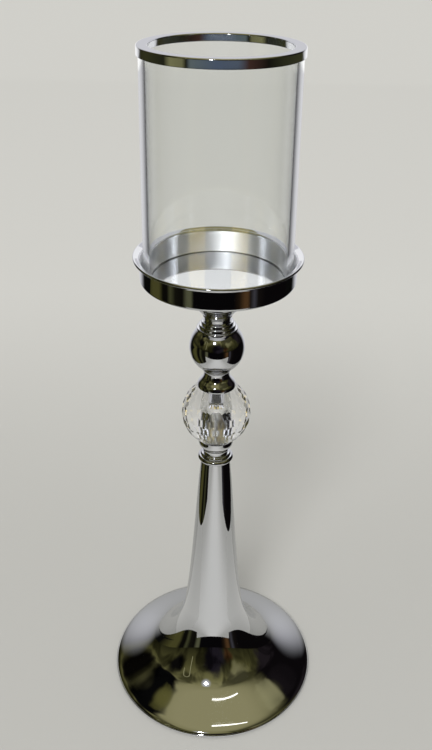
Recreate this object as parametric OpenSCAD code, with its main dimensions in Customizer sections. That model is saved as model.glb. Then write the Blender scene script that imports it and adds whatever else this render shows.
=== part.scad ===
// Candlestick with a loose glass cylinder, a column of turned pieces and a spun foot.
// Millimetres, +Z up. The origin is on the table, under the middle of the foot.

/* [Foot and stem] */
// Outer radius of the foot at its rolled hem
foot_r = 80; // [74:0.5:90]
// Height of the stem's top face above the table
stem_h = 202.2; // [180:0.2:230]
// Radius of the stem at its top face
stem_top_r = 10.2; // [9.8:0.1:10.4]
// Radius that the upper stem swells towards
stem_swell_r = 13.8; // [12.8:0.1:15]
// Drop from the top face to that swell
stem_swell_drop = 28; // [22:1:40]
// Radius of the stem where the foot begins to flare
stem_low_r = 23; // [20:0.5:26]
// Height where the foot begins to flare
flare_z = 60; // [52:1:70]
// Growth in radius per millimetre of height at the flare
stem_taper = 0.16; // [0.1:0.01:0.22]
// Height of the brow where the flare turns into the apron
brow_z = 17.4; // [16:0.2:20]
// Steepness of the foot at the brow
brow_slope = 0.75; // [0.65:0.01:0.9]
// Width of the nearly straight apron of the foot
apron_w = 24; // [20:0.5:28]
// Height of the apron where it meets the rolled edge
apron_z = 6.9; // [6.6:0.1:8]
// Steepness of the apron at the rolled edge
apron_slope = 0.4; // [0.3:0.01:0.5]
// Width of the rolled edge of the foot
roll_w = 8; // [6:0.5:10]
// Radius of the bead that hems the foot
hem_r = 1.2; // [1:0.1:1.5]
// Gap between the hem and the table
hem_lift = 0.4; // [0.2:0.1:0.8]
// Sheet thickness of the stem and foot
foot_t = 1.2; // [0.8:0.1:1.5]
// Thickness of the top wall of the stem
stem_top_t = 2; // [1.5:0.1:3]

/* [Weight and felt] */
// Thickness of the felt
felt_t = 2; // [1.5:0.1:2.5]
// Gap between the felt and the hem
felt_gap = 1.6; // [1:0.1:4]
// Thickness of the thin lip round the weight
weight_lip_t = 2; // [1.5:0.1:2.4]
// How far the lip of the weight stays inside the felt
weight_inset = 3; // [2:0.5:5]
// Radius of the raised boss in the middle of the weight
weight_boss_r = 18; // [15:0.5:22]
// Thickness of the weight over the nut pocket
weight_roof = 10; // [8:0.5:14]
// Gap round the washers in their pocket
pocket_gap = 4; // [3:0.5:6]

/* [Tie rod and fasteners] */
// Thread diameter of the rod
rod_d = 8; // [6:0.5:8]
// Gap between the rod and the holes that it passes
rod_gap = 0.25; // [0.1:0.05:0.4]
// Width across the flats of the nut
nut_flats = 13; // [12:0.5:14]
// Height of the nut
nut_h = 6.5; // [5:0.5:8]
// Diameter of the flat washer
washer_d = 16; // [15:0.5:18]
// Thickness of the flat washer
washer_t = 1.6; // [1.2:0.1:2]
// Diameter of the split lock washer
lock_d = 14; // [13:0.2:14.8]
// Thickness of the split lock washer
lock_t = 2; // [1.5:0.1:2.5]
// Width of the split in the lock washer
lock_split = 1.5; // [1:0.1:2]
// Length of rod that stands out below the nut
rod_tail = 1; // [0.5:0.5:3]
// Gap between the end of the rod and the felt
tail_gap = 0.9; // [0.5:0.1:2]

/* [Turned necks] */
// Radius of each neck at its waist
waist_r = 9.2; // [8.8:0.1:9.6]
// Radius of the bead at the top of each neck
neck_r = 10.4; // [10:0.1:11]
// Height of each neck
neck_h = 4.3; // [3.6:0.1:5]
// Radius of the section of that bead
neck_bead = 0.6; // [0.4:0.05:0.8]
// Radius of the section of the cove
cove_r = 7.5; // [6:0.5:10]

/* [Stem collar] */
// Height of the stem collar
stem_collar_h = 7.4; // [6.8:0.1:9]
// Radius of the stem collar at its large bead
stem_collar_r = 12.9; // [12.6:0.1:13.5]
// Radius of the section of the large bead
large_bead = 2; // [1.7:0.1:2.2]
// Radius of the stem collar at its small bead
small_bead_r = 11.1; // [10.8:0.1:11.6]
// Radius of the section of the small bead
small_bead = 1.5; // [1.2:0.1:1.7]
// Rise from the large bead to the small one
bead_rise = 2.7; // [2.4:0.1:3]
// How far the collar reaches down over the stem
collar_lap = 2; // [1.5:0.1:2.5]
// Gap between the collar and the top of the stem
collar_gap = 0.3; // [0.2:0.05:0.5]

/* [Crystal] */
// Distance from the middle of the crystal to its facets
crystal_r = 24.5; // [22:0.5:30]
// Facets round each row
crystal_columns = 20; // [14:1:24]
// Rows of facets
crystal_rows = 8; // [6:1:8]
// Angle between the rows of facets
row_angle = 15; // [13:0.5:16]
// Radius of the flat at each pole of the crystal
pole_r = 11.4; // [10.8:0.1:11.7]
// Outer radius of the sleeve in the crystal's bore
sleeve_r = 7.1; // [6.4:0.1:7.6]
// Gap between the sleeve and what it passes
sleeve_gap = 0.3; // [0.2:0.05:0.4]
// Thickness of the soft washers at the poles
soft_t = 1; // [0.8:0.1:1.5]
// How far the soft washers stay inside the flats
soft_inset = 0.6; // [0.4:0.1:1]

/* [Crystal cap and cup] */
// Radius of the cap at its rim
cap_r = 13.6; // [12.8:0.1:14.2]
// Height of the cap
cap_h = 10.3; // [9:0.1:12]
// Radius of the cup at its rim
cup_r = 12.8; // [12.7:0.1:13.6]
// Height of the cup
cup_h = 6.6; // [5.5:0.1:8]
// How far the rims reach past the poles of the crystal
rim_lap = 0.3; // [0.2:0.05:0.4]
// Gap between the rims and the crystal
crystal_gap = 0.25; // [0.15:0.05:0.35]

/* [Ball] */
// Radius of the metal ball
ball_r = 19.4; // [18.5:0.1:21]
// Sheet thickness of the ball
ball_t = 1.2; // [0.8:0.1:1.6]
// Radius of the flat on top of the ball
ball_flat_r = 13.6; // [13:0.1:14]
// Height of the collar on the ball
ball_collar_h = 7.35; // [7:0.05:9]
// Radius of that collar at its lowest step
ball_collar_r = 14.5; // [14.2:0.1:15.2]
// Radius of the round edge of its steps
step_edge = 1.1; // [0.9:0.05:1.2]
// Growth in radius from step to step
step_out = 1.6; // [1.4:0.05:1.7]
// Drop in height from step to step
step_drop = 2.4; // [2.2:0.05:2.5]

/* [Dish] */
// Height of the support under the dish
support_h = 25.4; // [21:0.2:32]
// Radius of the support where its cone ends
support_r = 18; // [15:0.5:21]
// Height of the support's cone
support_cone_h = 8.8; // [7:0.2:11]
// Radius of the support at the dish
support_top_r = 22; // [21:0.5:26]
// Sheet thickness of the support
support_t = 1.2; // [0.8:0.1:1.5]
// Radius of the threaded boss under the dish
boss_r = 9; // [7.5:0.5:11]
// Height of the threaded boss
boss_h = 12; // [10:0.5:14]
// Thickness of the boss over its thread
boss_roof = 2; // [1.5:0.5:3]
// Gap between the end of the rod and the end of the thread
thread_gap = 0.5; // [0.3:0.1:1]
// Sheet thickness of the dish
dish_t = 1.1; // [0.8:0.1:1.4]
// Gap between the glass and the wall of the dish
glass_gap = 1.3; // [0.8:0.1:2.5]
// Height of the dish
dish_h = 18; // [15:0.5:24]
// How far the lip flares out from the wall
lip_w = 4.4; // [3.8:0.1:6]
// Radius where the wall turns into the lip
lip_turn = 2.4; // [1.8:0.1:2.8]
// Rise of the lip from its turn to its edge
lip_rise = 0.8; // [0.4:0.1:1.4]
// Radius of the section of the lip's edge
lip_bead = 0.9; // [0.8:0.05:1]
// Radius of the outer corner at the floor
floor_corner = 2.2; // [1.8:0.1:3]

/* [Glass and ring] */
// Outer diameter of the glass
glass_d = 100; // [90:1:120]
// Wall of the glass
glass_t = 4; // [3:0.1:5]
// Height of the glass
glass_h = 150; // [120:1:200]
// Sheet thickness of the ring
ring_t = 1; // [0.7:0.1:1.2]
// Depth of the ring's outer skirt
ring_skirt = 6; // [5:0.1:8]
// Depth of the ring's inner lip
ring_lip = 5; // [4.2:0.1:6.5]
// Radius of the ring's top corners
ring_corner = 0.7; // [0.4:0.05:0.9]
// Thickness of the seal on top of the glass
seal_top = 1; // [0.6:0.1:1.4]
// Thickness of the seal outside the glass
seal_out = 0.3; // [0.2:0.05:0.5]
// Thickness of the seal inside the glass
seal_in = 0.85; // [0.5:0.05:1.2]
// How far the edges of the seal stay up inside the ring
seal_inset = 1.2; // [0.8:0.1:1.6]

/* [Hidden] */
$fn = 96;

// Steps along each curve and each rounded corner
curve_steps = 16;
corner_steps = 6;

rod_r = rod_d / 2;
hole_r = rod_r + rod_gap;
bore_r = sleeve_r + sleeve_gap;

// Foot: the apron and the brow are measured in from the rim
apron_r = foot_r - roll_w;
brow_r = apron_r - apron_w;
hem_mid = [foot_r - hem_r, hem_lift + hem_r];
felt_r = foot_r - 2 * hem_r - felt_gap;
weight_r = felt_r - weight_inset;

// Fasteners, from the felt up
z_tail = felt_t + tail_gap;
z_nut = z_tail + rod_tail;
z_lock = z_nut + nut_h;
z_washer = z_lock + lock_t;
z_pocket = z_washer + washer_t;
pocket_r = washer_d / 2 + pocket_gap;

// Column, each piece on the one below
z_stem_collar = stem_h - collar_lap;
z_lower_neck = z_stem_collar + stem_collar_h;
z_cup = z_lower_neck + neck_h;
well_h = soft_t + rim_lap;
z_lower_washer = z_cup + cup_h - well_h;
z_crystal = z_lower_washer + soft_t;

// The outermost row of facets ends at the flat of each pole
half_step = 180 / crystal_columns;
pole_angle = row_angle * (crystal_rows - 1) / 2;
pole_h = (crystal_r - pole_r * cos(pole_angle) * cos(half_step)) / sin(pole_angle);
well_r = pole_r + rim_lap * tan(pole_angle) / cos(half_step) + crystal_gap;
crystal_mid = z_crystal + pole_h;
z_upper_washer = crystal_mid + pole_h;
z_cap = z_upper_washer + soft_t - well_h;
z_middle_neck = z_cap + cap_h;

// The ball stands on the bead of the middle neck
ball_drop = sqrt(ball_r ^ 2 - neck_r ^ 2);
ball_rise = sqrt(ball_r ^ 2 - ball_flat_r ^ 2);
ball_mid = z_middle_neck + neck_h + ball_drop;
z_ball_collar = ball_mid + ball_rise;
z_upper_neck = z_ball_collar + ball_collar_h;
z_support = z_upper_neck + neck_h;
z_dish = z_support + support_h;
z_boss = z_dish - boss_h;
z_rod_top = z_dish - boss_roof - thread_gap;

// Glass and ring
glass_r = glass_d / 2;
glass_in = glass_r - glass_t;
wall_r = glass_r + glass_gap + dish_t;
// The rounded corner of the dish stays outside the foot of the glass
corner_r = min(floor_corner, glass_gap + dish_t);
z_glass = z_dish + dish_t;
z_seal = z_glass + glass_h + seal_top;
z_ring = z_seal + ring_t;
ring_out = glass_r + seal_out + ring_t;
ring_in = glass_in - seal_in - ring_t;

chrome = "gainsboro";
steel = "darkgray";
clear = [0.85, 0.9, 0.92, 0.4];

// Points of a cubic curve, all but its last
function curve(a, b, c, d) = [for (i = [0 : curve_steps - 1]) let (t = i / curve_steps, s = 1 - t)
    s ^ 3 * a + 3 * s ^ 2 * t * b + 3 * s * t ^ 2 * c + t ^ 3 * d];

// Points of an arc round a centre
function arc(centre, r, from, to) = [for (i = [0 : corner_steps])
    let (a = from + (to - from) * i / corner_steps) centre + r * [cos(a), sin(a)]];

// Unit normal to the left of a path at one of its points
function left(path, i) = let (d = path[min(i + 1, len(path) - 1)] - path[max(i - 1, 0)])
    [-d.y, d.x] / norm(d);

// The same path moved to its left
function moved(path, t) = [for (i = [0 : len(path) - 1]) path[i] + t * left(path, i)];

function reversed(path) = [for (i = [len(path) - 1 : -1 : 0]) path[i]];

// Handles of the foot's curves, each a share of its own span
low_reach = (stem_h - flare_z) * 0.27;
flare_reach = (flare_z - brow_z) * 0.32;
brow_reach = (brow_r - stem_low_r) * 0.56;
brow_out = apron_w * 0.2;
apron_reach = apron_w * 0.35;
roll_out = roll_w * 0.45;
roll_in = roll_w * 0.09;
roll_drop = roll_w * 0.25;
hem_top = hem_mid + hem_r * [0.7, 0.4];

// Outer face of the stem and foot, from the top face to the hem
foot_path = concat(
    curve([stem_top_r, stem_h], [stem_swell_r, stem_h - stem_swell_drop],
        [stem_low_r - low_reach * stem_taper, flare_z + low_reach], [stem_low_r, flare_z]),
    curve([stem_low_r, flare_z], [stem_low_r + flare_reach * stem_taper, flare_z - flare_reach],
        [brow_r - brow_reach, brow_z + brow_reach * brow_slope], [brow_r, brow_z]),
    curve([brow_r, brow_z], [brow_r + brow_out, brow_z - brow_out * brow_slope],
        [apron_r - apron_reach, apron_z + apron_reach * apron_slope], [apron_r, apron_z]),
    curve([apron_r, apron_z], [apron_r + roll_out, apron_z - roll_out * apron_slope],
        [foot_r - roll_in, hem_top.y + roll_drop], hem_top),
    [hem_top]);
foot_inside = moved(foot_path, -foot_t);

// The weight bears on the inside of the apron
seat_path = [for (i = [2 * curve_steps : 3 * curve_steps]) foot_inside[i]];

// Latitude of a row of facets
function row_at(i) = row_angle * (i - (crystal_rows - 1) / 2);

// Radius and height where one row, seen at angle p off its facet, meets the next, at angle q
function corner(i, p, q) = let (c = cos(row_at(i)) * cos(p), s = sin(row_at(i)),
        d = cos(row_at(i + 1)) * cos(q), e = sin(row_at(i + 1)))
    crystal_r * [e - s, c - d] / (c * e - d * s);

// One ring of corners: its radius and height, and its turn in half facets
function ring_points(at, turn) = [for (j = [0 : crystal_columns - 1])
    let (a = half_step * (2 * j + turn)) [at.x * cos(a), at.x * sin(a), at.y]];

crystal_points = concat(
    ring_points([pole_r, -pole_h], 1),
    [for (i = [0 : crystal_rows - 2]) each concat(
        ring_points(corner(i, half_step, 0), 1 + i % 2),
        ring_points(corner(i, 0, half_step), i % 2))],
    ring_points([pole_r, pole_h], 1 + (crystal_rows - 1) % 2));

// Number of a corner, counted round its ring
function corner_id(ring, j) = ring * crystal_columns + (j + crystal_columns) % crystal_columns;

// One facet, clockwise from its lower left corner
function facet(i, j) = let (k = j - 1 + i % 2, low = 2 * i, high = 2 * i + 1) concat(
    i == 0 ? [corner_id(0, j - 1)] : [corner_id(low, k)],
    [corner_id(high, j - 1)],
    i == crystal_rows - 1 ? [] : [corner_id(high + 1, j)],
    [corner_id(high, j)],
    i == 0 ? [corner_id(0, j)] : [corner_id(low, k + 1), corner_id(low - 1, k)]);

crystal_facets = concat(
    [[for (j = [0 : crystal_columns - 1]) j]],
    [for (i = [0 : crystal_rows - 1]) for (j = [0 : crystal_columns - 1]) facet(i, j)],
    [[for (j = [crystal_columns - 1 : -1 : 0]) corner_id(2 * crystal_rows - 1, j)]]);

// A solid turned from its half section
module turned(z) {
    translate([0, 0, z])
        rotate_extrude()
            children();
}

// A plain ring or disc with a hole
module washer(z, outer, inner, t) {
    turned(z)
        translate([inner, 0])
            square([outer - inner, t]);
}

module felt_pad() {
    color("dimgray")
        cylinder(r = felt_r, h = felt_t);
}

module base_weight() {
    color("darkslategray")
        turned(0)
            polygon(concat(
                [[hole_r, z_pocket], [pocket_r, z_pocket], [pocket_r, felt_t], [weight_r, felt_t],
                    [weight_r, felt_t + weight_lip_t],
                    [seat_path[curve_steps].x, felt_t + weight_lip_t]],
                reversed(seat_path),
                [[weight_boss_r, seat_path[0].y], [weight_boss_r, z_pocket + weight_roof],
                    [hole_r, z_pocket + weight_roof]]));
}

module rod_nut() {
    color(steel)
        translate([0, 0, z_nut])
            linear_extrude(nut_h)
                difference() {
                    circle(r = nut_flats / 2 / cos(30), $fn = 6);
                    circle(r = rod_r);
                }
}

module lock_washer() {
    color(steel)
        translate([0, 0, z_lock])
            linear_extrude(lock_t)
                difference() {
                    circle(d = lock_d);
                    circle(r = hole_r);
                    translate([0, -lock_split / 2])
                        square([lock_d, lock_split]);
                }
}

module rod_washer() {
    color(steel)
        washer(z_washer, washer_d / 2, hole_r, washer_t);
}

module tie_rod() {
    color(steel)
        translate([0, 0, z_tail])
            cylinder(r = rod_r, h = z_rod_top - z_tail);
}

module stem_base() {
    color(chrome)
        turned(0) {
            polygon(concat(foot_inside, reversed(foot_path)));
            translate([hole_r, stem_h - stem_top_t])
                square([stem_top_r - hole_r, stem_top_t]);
            translate(hem_mid)
                circle(r = hem_r);
        }
}

// The collar's bead sections are cut flat where they meet its ends
module stem_collar() {
    stem_at_lap = stem_top_r + collar_lap * (stem_swell_r - stem_top_r) / stem_swell_drop;
    bore = stem_at_lap + collar_gap;
    bead_z = large_bead * 0.9;
    color(chrome)
        turned(z_stem_collar)
            difference() {
                intersection() {
                    union() {
                        square([waist_r, stem_collar_h]);
                        square([stem_collar_r - large_bead, bead_z]);
                        translate([stem_collar_r - large_bead, bead_z])
                            circle(r = large_bead);
                        translate([small_bead_r - small_bead, bead_z + bead_rise])
                            circle(r = small_bead);
                    }
                    translate([hole_r, 0])
                        square([stem_collar_r, stem_collar_h]);
                }
                square([bore, collar_lap]);
            }
}

// Neck with a cove below a bead
module neck(z) {
    color(chrome)
        turned(z)
            difference() {
                union() {
                    translate([hole_r, 0])
                        square([neck_r - neck_bead - hole_r, neck_h]);
                    intersection() {
                        translate([neck_r - neck_bead, neck_h - neck_bead])
                            circle(r = neck_bead);
                        square([neck_r, neck_h]);
                    }
                }
                translate([waist_r + cove_r, 0])
                    circle(r = cove_r);
            }
}

module lower_neck() {
    neck(z_lower_neck);
}

module middle_neck() {
    neck(z_middle_neck);
}

module upper_neck() {
    neck(z_upper_neck);
}

module crystal_cup() {
    rim = [cup_r, cup_h];
    belly_low = cup_h * 0.1;
    belly_high = cup_h * 0.5;
    color(chrome)
        turned(z_cup)
            difference() {
                polygon(concat(
                    [[hole_r, 0]],
                    curve([neck_r, 0], [cup_r, belly_low], [cup_r, belly_high], rim),
                    [rim, [hole_r, cup_h]]));
                translate([0, cup_h - well_h])
                    square([well_r, cup_h]);
            }
}

module lower_washer() {
    color("whitesmoke")
        washer(z_lower_washer, pole_r - soft_inset, bore_r, soft_t);
}

module upper_washer() {
    color("whitesmoke")
        washer(z_upper_washer, pole_r - soft_inset, bore_r, soft_t);
}

module crystal_ball() {
    color(clear)
        translate([0, 0, crystal_mid])
            difference() {
                polyhedron(crystal_points, crystal_facets);
                cylinder(r = bore_r, h = 3 * pole_h, center = true);
            }
}

module crystal_sleeve() {
    color(steel)
        washer(z_lower_washer, sleeve_r, hole_r, z_upper_washer + soft_t - z_lower_washer);
}

module crystal_cap() {
    rim = [cap_r, 0];
    rim_h = cap_h * 0.05;
    sweep_h = cap_h * 0.48;
    color(chrome)
        turned(z_cap)
            difference() {
                polygon(concat(
                    [[hole_r, 0], rim],
                    curve([cap_r, rim_h], [cap_r, sweep_h], [waist_r, sweep_h], [waist_r, cap_h]),
                    [[waist_r, cap_h], [hole_r, cap_h]]));
                square([well_r, well_h]);
            }
}

module metal_ball() {
    color(chrome)
        turned(ball_mid)
            difference() {
                intersection() {
                    circle(r = ball_r);
                    translate([hole_r, -ball_drop])
                        square([ball_r, ball_drop + ball_rise]);
                }
                intersection() {
                    circle(r = ball_r - ball_t);
                    translate([0, ball_t - ball_drop])
                        square([ball_r, ball_drop + ball_rise - 2 * ball_t]);
                }
            }
}

// Three steps with round edges, each wider and lower than the last, under a plain cone
module ball_collar() {
    first_z = step_edge * 0.65;
    steps = [for (i = [0 : 2])
        let (mid = [ball_collar_r - step_edge - i * step_out, first_z + i * step_drop],
            low = i == 0 ? 0 : mid.y - step_drop + step_edge)
        each concat([[mid.x + step_edge, low]], arc(mid, step_edge, 0, 90))];
    color(chrome)
        turned(z_ball_collar)
            polygon(concat([[hole_r, 0]], steps, [[waist_r, ball_collar_h], [hole_r, ball_collar_h]]));
}

module dish_support() {
    shoulder = [support_r, support_cone_h];
    wall_h = support_h - support_cone_h;
    lean = [0.2, 0.3 * wall_h];
    path = concat(
        [[neck_r, 0]],
        curve(shoulder, shoulder + lean, shoulder + 2 * lean, [support_top_r, support_h]),
        [[support_top_r, support_h]]);
    color(chrome)
        turned(z_support)
            intersection() {
                union() {
                    polygon(concat(path, reversed(moved(path, support_t))));
                    square([neck_r, support_t]);
                }
                translate([hole_r, 0])
                    square([support_top_r, support_h]);
            }
}

module dish_boss() {
    color(steel)
        translate([0, 0, z_boss])
            difference() {
                cylinder(r = boss_r, h = boss_h);
                translate([0, 0, -boss_roof])
                    cylinder(r = rod_r, h = boss_h);
            }
}

module candle_dish() {
    lip_r = wall_r + lip_w;
    lip_bend = 75;
    turn_z = dish_h - lip_rise - dish_t - lip_turn;
    path = concat(
        [[0, 0]],
        arc([wall_r - corner_r, corner_r], corner_r, -90, 0),
        arc([wall_r + lip_turn, turn_z], lip_turn, 180, 180 - lip_bend),
        [[lip_r - lip_bead, dish_h - dish_t]]);
    color(chrome)
        turned(z_dish) {
            polygon(concat(path, reversed(moved(path, dish_t))));
            translate([lip_r - lip_bead, dish_h - lip_bead])
                circle(r = lip_bead);
        }
}

module glass_cylinder() {
    color(clear)
        washer(z_glass, glass_r, glass_in, glass_h);
}

module rim_seal() {
    seal_h = ring_lip - ring_t - seal_inset;
    color("white")
        turned(z_seal - seal_h)
            difference() {
                translate([ring_in + ring_t, 0])
                    square([ring_out - ring_in - 2 * ring_t, seal_h]);
                translate([glass_in, -seal_top])
                    square([glass_t, seal_h]);
            }
}

module rim_ring() {
    color(chrome)
        turned(z_ring)
            polygon(concat(
                arc([ring_out - ring_corner, -ring_corner], ring_corner, 0, 90),
                arc([ring_in + ring_corner, -ring_corner], ring_corner, 90, 180),
                [[ring_in, -ring_lip], [ring_in + ring_t, -ring_lip], [ring_in + ring_t, -ring_t],
                    [ring_out - ring_t, -ring_t], [ring_out - ring_t, -ring_skirt],
                    [ring_out, -ring_skirt]]));
}

felt_pad();
base_weight();
rod_nut();
lock_washer();
rod_washer();
tie_rod();
stem_base();
stem_collar();
lower_neck();
crystal_cup();
lower_washer();
crystal_ball();
crystal_sleeve();
upper_washer();
crystal_cap();
middle_neck();
metal_ball();
ball_collar();
upper_neck();
dish_support();
dish_boss();
candle_dish();
glass_cylinder();
rim_seal();
rim_ring();
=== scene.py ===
"""Looks of a candlestick: a spun foot, a column of turned pieces, a cut crystal and a glass shade.

The object's sizes are in millimetres, the studio's and Blender's in metres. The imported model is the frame.
"""

import logging
import math
from dataclasses import dataclass
from enum import Enum
from functools import cached_property

import bmesh
import bpy
import numpy as np
from bpy.types import ID, Material, Node, NodeSocket, Object, World
from mathutils import Matrix, Vector


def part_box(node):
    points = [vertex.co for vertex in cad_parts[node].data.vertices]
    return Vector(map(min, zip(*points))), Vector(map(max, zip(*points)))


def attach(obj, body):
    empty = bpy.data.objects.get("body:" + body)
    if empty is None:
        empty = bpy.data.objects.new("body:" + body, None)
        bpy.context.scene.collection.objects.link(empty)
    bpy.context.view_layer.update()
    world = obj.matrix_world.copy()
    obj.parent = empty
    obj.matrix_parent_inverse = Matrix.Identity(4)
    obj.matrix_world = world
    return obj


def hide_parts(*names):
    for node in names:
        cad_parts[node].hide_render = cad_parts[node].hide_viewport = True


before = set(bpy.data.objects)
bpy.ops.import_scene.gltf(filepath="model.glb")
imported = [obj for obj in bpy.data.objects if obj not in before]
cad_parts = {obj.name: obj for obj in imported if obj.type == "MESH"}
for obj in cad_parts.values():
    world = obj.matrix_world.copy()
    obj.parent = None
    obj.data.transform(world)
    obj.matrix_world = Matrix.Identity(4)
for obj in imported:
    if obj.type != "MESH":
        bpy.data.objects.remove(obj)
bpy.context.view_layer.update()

MM = 0.001
TINY = 1e-6
SMOOTH = {"interpolation_type": "SMOOTHSTEP"}
log = logging.getLogger("candlestick")

Point = tuple[float, float]
Path = list[Point]
Bead = tuple[Point, float]
Triple = tuple[float, float, float]
Fade = tuple[float, float, float, float]
Colour = tuple[float, float, float, float]
Stops = tuple[tuple[float, str], ...]
Feed = Node | NodeSocket | float | tuple


class Body(Enum):
    """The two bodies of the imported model."""

    COLUMN = "column"
    SHADE = "shade"


class Slot(Enum):
    """Material slots of the record."""

    CHROME = "chrome"
    GLASS = "glass"
    CRYSTAL = "crystal"
    SLEEVE = "sleeve_steel"
    ZINC = "zinc_steel"
    IRON = "cast_iron"
    FELT = "felt"
    SOFT = "soft_washer"
    SILICONE = "silicone"


def linear(code: str) -> Colour:
    """Turns an sRGB hex value into linear light.

    Args:
        code: The colour as #RRGGBB.

    Returns:
        Linear red, green and blue, and an alpha of 1.
    """
    parts = [int(code[i : i + 2], 16) / 255 for i in (1, 3, 5)]
    light = [c / 12.92 if c <= 0.04045 else ((c + 0.055) / 1.055) ** 2.4 for c in parts]
    return (light[0], light[1], light[2], 1.0)


@dataclass
class Nodes:
    """The nodes of a material or world, whose tree is emptied first."""

    owner: Material | World

    def __post_init__(self) -> None:
        """Empties the tree."""
        self.owner.use_nodes = True
        self.owner.node_tree.nodes.clear()

    @cached_property
    def place(self) -> NodeSocket:
        """Coordinates on the object in metres."""
        return self.add("TexCoord").outputs["Object"]

    def add(self, kind: str, feeds: dict | tuple = (), stops: Stops = (), **settings: str) -> Node:
        """Adds one node with its settings, its values and its links.

        Args:
            kind: Blender's name for the node, after the word ShaderNode.
            feeds: What the sockets take: values, or the sockets or nodes that feed them. A tuple fills the
                sockets in order, a dict by name or number.
            stops: Places and colours of a colour ramp.
            **settings: Attributes of the node.

        Returns:
            The new node. Where it feeds another as it is, its first output does.
        """
        tree = self.owner.node_tree
        made = tree.nodes.new("ShaderNode" + kind)
        for key, value in settings.items():
            setattr(made, key, value)
        for key, value in feeds.items() if isinstance(feeds, dict) else enumerate(feeds):
            source = value.outputs[0] if isinstance(value, Node) else value
            if isinstance(source, NodeSocket):
                tree.links.new(source, made.inputs[key])
            else:
                made.inputs[key].default_value = source
        if stops:
            steps = made.color_ramp.elements
            for at, _ in stops[1:-1]:
                steps.new(at)
            for step, (at, code) in zip(steps, stops):
                step.position, step.color = at, linear(code)
        return made

    def relief(self, place: Feed, size: float, depth: float, detail: float, under: Node | None = None) -> Node:
        """Adds a slight relief of noise.

        Args:
            place: Coordinates that the noise follows.
            size: Size of the noise in millimetres.
            depth: Its depth in millimetres.
            detail: How much finer noise it carries.
            under: The relief that it lies on.

        Returns:
            The node that gives the normal.
        """
        noise = self.add("TexNoise", {"Vector": place, "Scale": 1 / (size * MM), "Detail": detail})
        feeds = {"Strength": 1.0, "Distance": depth * MM, "Height": noise}
        return self.add("Bump", feeds | {"Normal": under} if under else feeds)


def cubic(a: Point, b: Point, c: Point, d: Point, steps: int = 40) -> Path:
    """Points of a cubic curve.

    Args:
        a: Start.
        b: Handle of the start.
        c: Handle of the end.
        d: End.
        steps: Number of spans.

    Returns:
        The points, both ends among them.
    """
    t = np.linspace(0, 1, steps + 1)[:, None]
    s = 1 - t
    at = s**3 * np.array(a) + 3 * s**2 * t * np.array(b) + 3 * s * t**2 * np.array(c) + t**3 * np.array(d)
    return [tuple(p) for p in at]


def arc(centre: Point, radius: float, start: float, end: float, steps: int = 20) -> Path:
    """Points of an arc.

    Args:
        centre: Middle of the circle.
        radius: Its radius.
        start: First angle in degrees.
        end: Last angle in degrees.
        steps: Number of spans.

    Returns:
        The points, both ends among them.
    """
    angles = np.radians(np.linspace(start, end, steps + 1))
    return [(centre[0] + radius * math.cos(a), centre[1] + radius * math.sin(a)) for a in angles]


def bearing(centre: Point, p: Point) -> float:
    """Direction from a centre to a point, in degrees."""
    return math.degrees(math.atan2(p[1] - centre[1], p[0] - centre[0]))


def beside(path: Path, distance: float) -> Path:
    """The path moved to its left.

    Args:
        path: The points.
        distance: How far they move; a negative value moves them to the right.

    Returns:
        The moved points.
    """
    p = np.array(path)
    d = np.gradient(p, axis=0)
    d /= np.linalg.norm(d, axis=1)[:, None]
    return [tuple(q) for q in p + distance * np.stack([-d[:, 1], d[:, 0]], -1)]


def envelope(beads: list[Bead], core_r: float, high: float, rows: int = 160, bead_rows: int = 48) -> Path:
    """Outer face of a turned piece that is made of beads round a core.

    Args:
        beads: Middle and radius of each bead's section.
        core_r: Radius of the core.
        high: Height of the top face.
        rows: Heights along the piece.
        bead_rows: Heights along each bead.

    Returns:
        The outer points from the bottom up.
    """
    heights = list(np.linspace(0, high, rows))
    for (_, z), radius in beads:
        heights += [z + radius * math.sin(a) for a in np.linspace(-math.pi / 2, math.pi / 2, bead_rows)]
    out = []
    for z in sorted({round(h, 4) for h in heights if 0 <= h <= high}):
        r = core_r
        for (mid, at), radius in beads:
            if abs(z - at) <= radius:
                r = max(r, mid + math.sqrt(max(radius**2 - (z - at) ** 2, 0)))
        out.append((r, z))
    return out


def eased(outline: Path, radius: float, turn: float = 24, steps: int = 5, most: float = 0.45) -> Path:
    """A closed outline with its sharp corners rounded, as polishing leaves them.

    Args:
        outline: Points of the closed section.
        radius: Radius of the rounding.
        turn: Least turn in degrees that counts as a corner.
        steps: Spans of each rounding.
        most: Largest share of a side that a rounding takes.

    Returns:
        The points with the corners rounded.
    """
    pts = [np.array(p) for i, p in enumerate(outline) if math.dist(p, outline[i - 1]) > TINY]
    out = []
    for i, p in enumerate(pts):
        back, ahead = pts[i - 1] - p, pts[(i + 1) % len(pts)] - p
        room = min(np.linalg.norm(back), np.linalg.norm(ahead))
        back, ahead = back / np.linalg.norm(back), ahead / np.linalg.norm(ahead)
        bend = math.pi - math.acos(float(np.clip(back @ ahead, -1, 1)))
        if math.degrees(bend) < turn or p[0] < TINY:
            out.append(tuple(p))
            continue
        cut = min(radius * math.tan(bend / 2), most * room)
        for t in (k / steps for k in range(steps + 1)):
            out.append(tuple((1 - t) ** 2 * (p + cut * back) + 2 * t * (1 - t) * p + t**2 * (p + cut * ahead)))
    return out


def spot(radius: float, angle: float, height: float) -> Triple:
    """Place in metres of a radius and a height in millimetres, at an angle in radians."""
    return (radius * math.cos(angle) * MM, radius * math.sin(angle) * MM, height * MM)


def add_object(name: str, data: ID) -> Object:
    """Adds an object to the scene.

    Args:
        name: Name of the object.
        data: Its mesh, lamp or lens.

    Returns:
        The object, at the origin of the frame.
    """
    made = bpy.data.objects.new(name, data)
    bpy.context.scene.collection.objects.link(made)
    return made


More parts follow.
